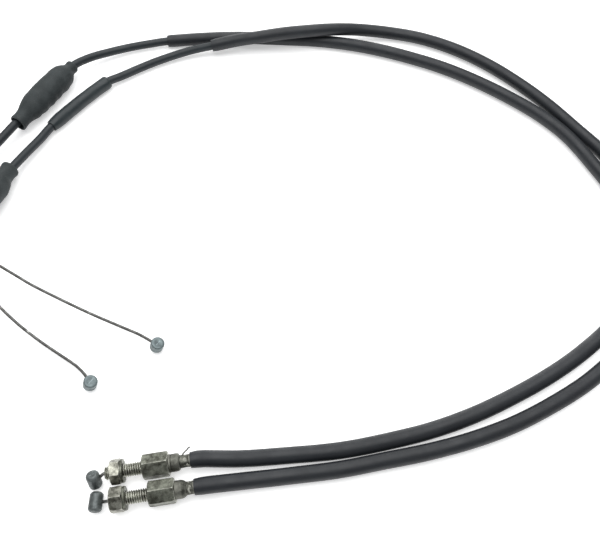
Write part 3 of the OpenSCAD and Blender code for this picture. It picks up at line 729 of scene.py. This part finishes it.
def hex_stations(low, high, flats, bore, wear, seed):
    """Outline of a hexagonal bar with turned chamfers and a bore through it."""
    body = hex_radius(flats)
    corner = flats / math.sqrt(3)
    cone = 0.865 * corner
    tall = 0.62 * (corner - cone)
    rows = 7
    no_limit = 99

    def skin(limit, z):
        def radius(angle):
            dent = wear * noise.noise(Vector((3 * math.cos(angle), 3 * math.sin(angle),
                                              0.7 * z + seed)))
            return min(body(angle), limit) + dent
        return radius

    def end_rows(base, sign):
        out = []
        for i in range(rows):
            t = i / (rows - 1)
            limit = cone + (corner - cone) * (1 - (1 - t) ** 1.2)
            out.append((base + sign * tall * t, skin(limit, base + sign * tall * t)))
        return out

    stations = [(low, bore + 0.15)] + end_rows(low, 1)
    count = max(2, int((high - low - 2 * tall) / 0.8))
    for i in range(1, count):
        z = low + tall + (high - low - 2 * tall) * i / count
        stations.append((z, skin(no_limit, z)))
    stations += reversed(end_rows(high, -1))
    stations += [(high, bore + 0.15), (high - 0.15, bore), (low + 0.15, bore)]
    return stations


def thread_stations(low, high, major, pitch, bore, seed=0.0, tip_low=True):
    """A stud or spigot with a right-hand thread, chamfered at its free end."""
    depth = 0.58 * pitch
    root = major - depth
    rows = int((high - low) / pitch * 10)
    stations = [(low, bore), (low, root - 0.25)]
    for i in range(rows + 1):
        z = low + (high - low) * i / rows

        def radius(angle, z=z):
            turn = ((z - low) / pitch - angle / TAU) % 1.0
            ridge = abs(2 * turn - 1)
            crest = min(1.0, max(0.0, (ridge - 0.12) / 0.72))
            ding = 0.06 * max(0.0, noise.noise(Vector((2 * math.cos(angle) + seed,
                                                       2 * math.sin(angle), 1.1 * z))) - 0.25)
            from_end = z - low if tip_low else high - z
            return min(root + depth * crest - ding, root + 0.1 + 0.9 * from_end)
        stations.append((z, radius))
    stations += [(high, root - 0.25), (high, bore)]
    return stations


def adjuster_pieces():
    """The adjusters, each a threaded stud on a hexagon, and the caps behind them."""
    for side in SIDES:
        place = at_joint(side + "_adjuster_spin")
        seed = 1.0 if side == "pull" else 6.0
        stud = turned("stud", thread_stations(0, STUD_LEN_MM, STUD_R_MM, THREAD_PITCH_MM, 0.88,
                                              seed),
                      60, "thread_steel", place, sharp_deg=80)
        body = turned("hex", hex_stations(16.4, 27.8, HEX_FLATS_MM, 3.45, wear=0.07,
                                          seed=seed),
                      144, "plated_steel", place)
        seat_ring = turned("web", [(16.5, 0.9), (16.5, 3.6), (19.9, 3.6), (19.9, 0.9)], 48,
                           "plated_steel", place)
        piece = join(side + "_adjuster_turned", stud, body, seat_ring)
        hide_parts(side + "_adjuster")
        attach(piece, side + "_adjuster_body")

        step = [(23.5, 2.96), (23.5, 3.4), (27.85, 3.4), (27.9, 3.98), (28.6, 3.98),
                (28.75, 3.86), (29.0, 3.84), (29.15, 3.96), (31.3, 3.95), (32.0, 3.8),
                (32.45, 3.5), (32.6, 3.05), (32.55, 2.96)]
        if side == "return":
            step = [(23.5, 2.96), (23.5, 3.4), (27.85, 3.4), (27.9, 3.98), (30.4, 3.97),
                    (31.0, 3.86), (31.8, 3.55), (32.4, 3.2), (32.6, 3.05), (32.55, 2.96)]

        def rough(base, z, seed=seed):
            return lambda angle: base + 0.05 * noise.noise(
                Vector((2.5 * math.cos(angle), 2.5 * math.sin(angle), 1.3 * z + seed)))

        cap = turned(side + "_end_cap_turned",
                     [(z, rough(r, z) if r > 3.45 else r) for z, r in step], 64,
                     "dull_steel", place, sharp_deg=35)
        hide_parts(side + "_end_cap")
        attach(cap, side + "_adjuster_body")


def crimped_ferrules():
    """The ferrule behind each adjuster, squeezed by a crimping tool."""
    for side in SIDES:
        place = at_joint(side + "_adjuster_spin")
        end = CRIMP_END_MM[side]

        def squeezed(z, end=end):
            def radius(angle):
                part = (z - 33.2) / (end - 33.6)
                press = 0.0
                if 0 < part < 1:
                    press = 0.28 * math.sin(math.pi * part) ** 0.6 * (
                        0.6 + 0.4 * math.cos(6 * angle))
                lump = 0.07 * noise.noise(Vector((2 * math.cos(angle), 2 * math.sin(angle), z)))
                return 2.88 - press + lump
            return radius

        rows = [(20.4, 2.6), (20.4, 3.35), (23.0, 3.35), (23.05, 2.85), (32.9, 2.85)]
        count = 14
        rows += [(33.0 + (end - 33.0) * i / count, squeezed(33.0 + (end - 33.0) * i / count))
                 for i in range(count + 1)]
        rows += [(end, 2.6)]
        ferrule = turned(side + "_ferrule_crimped", rows, 48, "dull_steel", place, sharp_deg=40)
        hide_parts(side + "_carb_ferrule")
        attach(ferrule, "root")

        crust = [(33.1 + (end - 33.4) * i / 10, crusted(33.1 + (end - 33.4) * i / 10, side))
                 for i in range(11)]
        crust = [(33.1, 2.5), *crust, (end - 0.2, 2.5)]
        patch = turned(side + "_ferrule_residue", crust, 48, "residue", place, sharp_deg=60)
        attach(patch, "root")


def crusted(z, side):
    """Outline of the residue at z, thick in patches and under the metal between them."""
    seed = 2.0 if side == "pull" else 9.0

    def radius(angle):
        lump = noise.noise(Vector((1.4 * math.cos(angle), 1.4 * math.sin(angle), 0.9 * z + seed)))
        return 2.62 + 0.42 * max(0.0, lump + 0.12)
    return radius


def nut_pieces():
    """The locknuts and the split washers behind them."""
    for side, low, high, turn in (("pull", 2.4, 6.9, 30), ("return", 0.0, 5.6, 0)):
        place = at_joint(side + "_adjuster_spin", turn)
        nut = turned(side + "_locknut_faceted",
                     hex_stations(low, high, HEX_FLATS_MM, 3.05, wear=0.09,
                                  seed=4.0 + low),
                     144, "plated_nut", place)
        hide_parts(side + "_locknut")
        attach(nut, side + "_nut")

        washer_place = at_joint(side + "_adjuster_spin")
        piece = split_washer(side + "_spring_washer", high + 0.1, washer_place)
        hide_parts(side + "_lock_washer")
        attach(piece, side + "_washer")


def split_washer(name, low, place):
    """A spring washer: a flat ring with a narrow cut across it."""
    inner, outer, thick, steps = 3.12, 5.15, 1.05, 70
    gap = 0.4 / outer
    points, faces = [], []
    section = [(inner, 0.06), (inner + 0.08, 0), (outer - 0.15, 0), (outer, 0.15),
               (outer, thick - 0.15), (outer - 0.15, thick), (inner + 0.08, thick),
               (inner, thick - 0.06)]
    for i in range(steps + 1):
        angle = gap + (TAU - 2 * gap) * i / steps
        for r, z in section:
            points.append(place @ (MM * Vector((r * math.cos(angle), r * math.sin(angle),
                                                low + z))))
    n = len(section)
    for i in range(steps):
        for k in range(n):
            m = (k + 1) % n
            faces.append((i * n + k, i * n + m, (i + 1) * n + m, (i + 1) * n + k))
    faces += [tuple(reversed(range(n))), tuple(steps * n + k for k in range(n))]
    return finish_mesh(name, points, faces, "plated_steel")


def boots():
    """Soft moulded boots: hollow, lumpy, pulled to one side at the mouth."""
    for side, fat, neck, seed, lean in (("pull", 7.62, 2.56, 5.0, 1.1),
                                        ("return", 8.02, 2.81, 12.0, 0.5)):
        length = BOOT_LEN_MM[side]
        place = seat(NECK[side], BOOT_WAY[side])
        outline = [(0, neck + 0.95), (0.5, neck + 1.3), (1.5, neck + 1.35), (3, neck + 1.2),
                   (4.6, fat - 3.4), (6.5, fat - 2.1), (8.5, fat - 1.05), (11, fat - 0.35),
                   (14.5, fat), (length - 20, fat - 0.02), (length - 16, fat - 0.3),
                   (length - 13, fat - 0.8), (length - 10, fat - 1.6), (length - 7.4, 5.15),
                   (length - 5.4, 4.85), (length - 3, 4.82), (length - 1.8, 5.0),
                   (length - 0.7, 5.08), (length - 0.15, 4.9)]
        inner = [(length - 0.1, 4.25), (length - 2, 4.05), (length - 8, 4.0),
                 (length - 14.5, fat - 1.7), (length - 18, fat - 1.15), (14, fat - 1.15),
                 (10.5, fat - 1.7), (7.5, fat - 3.4), (4, neck + 0.02), (0.1, neck + 0.02)]
        stations = [(z, boot_skin(z, r, fat, seed)) for z, r in fine_outline(outline)]
        stations += [(z, r) for z, r in inner]

        def shift(z, length=length, lean=lean):
            pull = max(0.0, (z - 0.62 * length) / (0.38 * length)) ** 1.5
            return (0.25 * lean * pull, lean * pull)

        boot = turned(side + "_boot_moulded", stations, 96, "boot_rubber", place, sharp_deg=50,
                      shift=shift)
        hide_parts(side + "_boot")
        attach(boot, side + "_boot_body")


def fine_outline(outline, step=0.6):
    """An outline with points added on a smooth curve between its own."""
    line = smooth_route([(r, 0, z) for z, r in outline], step)
    return [(p.z, p.x) for p in line]


def boot_skin(z, r, fat, seed):
    """Outline of a boot at z, lumpy and creased where it is fat."""
    def radius(angle):
        full = min(1.0, max(0.0, (r - 4.9) / 2.2))
        spot = Vector((1.1 * math.cos(angle), 1.1 * math.sin(angle), z / 8 + seed))
        lump = noise.noise(spot) + 0.45 * noise.noise(2.3 * spot) + 0.2 * noise.noise(5 * spot)
        crease = 0.16 * math.cos(TAU * z / 6.5 + 1.5 * noise.noise(spot) + seed) * (
            0.5 + 0.5 * math.sin(angle + 0.6))
        return min(fat + 0.12, r + full * (0.30 * lump + crease) - 0.12 * full)
    return radius


def grip_fittings():
    """Elbow pipes, the pull cable's collar, and the union nuts."""
    starts = {"pull": 25.9, "return": (CORNER["return"] - NECK["return"]).length / MM + 16.9}
    for side in SIDES:
        line = even_route(elbow_route(side, starts[side]), 0.8 * MM)
        total = route_length(line)

        def surface(gone, angle, total=total):
            left = (total - gone) / MM
            flare = FLARE_R_MM if left < FLARE_LEN_MM else PIPE_R_MM
            return flare * MM + 0.02 * MM * noise.noise(
                Vector((gone / 0.004, math.cos(angle), math.sin(angle))))

        pipe = sweep(side + "_elbow_bent", line, surface, 40, "plated_steel", inner=PIPE_BORE_R,
                     sharp_deg=35)
        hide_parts(side + "_elbow_pipe")
        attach(pipe, "root")

        place = seat(PIPE_TIP[side], PIPE_WAY[side])
        top = -2.0
        hex_top = top - 7.8
        head = turned("head", hex_stations(hex_top - 7, hex_top, UNION_FLATS_MM,
                                           UNION_BORE_R_MM, wear=0.06, seed=7),
                      144, "plated_nut", place)
        spigot = turned("spigot", thread_stations(hex_top - 0.5, top, SPIGOT_R_MM,
                                                  THREAD_PITCH_MM, UNION_BORE_R_MM,
                                                  tip_low=False),
                        72, "thread_steel", place, sharp_deg=80)
        union = join(side + "_union_nut_faceted", head, spigot)
        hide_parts(side + "_union_nut")
        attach(union, side + "_union")

    place = seat(CORNER["pull"], along(*LEG_IN["pull"]))
    rows = [(-31.9, 2.55), (-31.95, 3.2), (-31.6, 3.6), (-31, 3.72)]
    for i in range(4):
        z = -29.5 + 2.2 * i
        rows += [(z, 3.72), (z + 0.3, 3.5), (z + 0.9, 3.5), (z + 1.2, 3.72)]
    rows += [(-20.6, 3.72), (-20.1, 3.4), (-20.05, 2.85), (-25.9, 2.8), (-26.1, 2.55)]
    collar = turned("pull_elbow_collar_rolled", rows, 48, "plated_steel", place)
    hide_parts("pull_elbow_collar")
    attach(collar, "root")


def burr():
    """The small bent tag on the pull cable's crimp."""
    place = at_joint("pull_adjuster_spin")
    line = [(33.6, 1.7, 1.8), (34.5, 2.7, 2.2), (35.5, 3.5, 2.5), (36.5, 4.2, 2.7),
            (37.1, 4.6, 3.3), (37.9, 4.9, 3.4)]
    route = smooth_route([place @ (MM * Vector((-up, across, z))) for z, across, up in line],
                         0.2 * MM)

    def surface(gone, angle):
        return 0.34 * MM / math.sqrt((math.cos(angle)) ** 2 + (2.1 * math.sin(angle)) ** 2) * (
            1 + 0.25 * noise.noise(Vector((gone / 0.001, math.cos(angle), 2))))

    tag = sweep("pull_crimp_tag", route, surface, 16, "dull_steel")
    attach(tag, "root")


def repaint_hidden():
    """Inner pieces keep their CAD shape and get a finished material."""
    for side in SIDES:
        for node, material in (("inline_bolt", "plated_steel"), ("inline_locknut", "plated_nut"),
                               ("inline_barrel", "plated_steel"),
                               ("inline_ferrule", "plated_steel"), ("armour", "armour_steel"),
                               ("liner", "liner_plastic"), ("wire_core", "wire"),
                               ("grip_armour", "armour_steel"),
                               ("grip_liner", "liner_plastic")):
            piece = frame["nodes"].get(side + "_" + node)
            if piece:
                piece.data.materials.clear()
                piece.data.materials.append(MATERIALS[material])


lay_cords()
free_wires()
carb_wires()
for side, lean in (("pull", (-20, -3, 0)), ("return", (90, 0, 0))):
    nipple_piece(side + "_carb_nipple_cast", side + "_carb_nipple", side + "_wire_out", 3.0, 8.4,
                 lean, "cast_nipple", slope=1.0)
adjuster_pieces()
crimped_ferrules()
nut_pieces()
boots()
grip_fittings()
burr()
repaint_hidden()
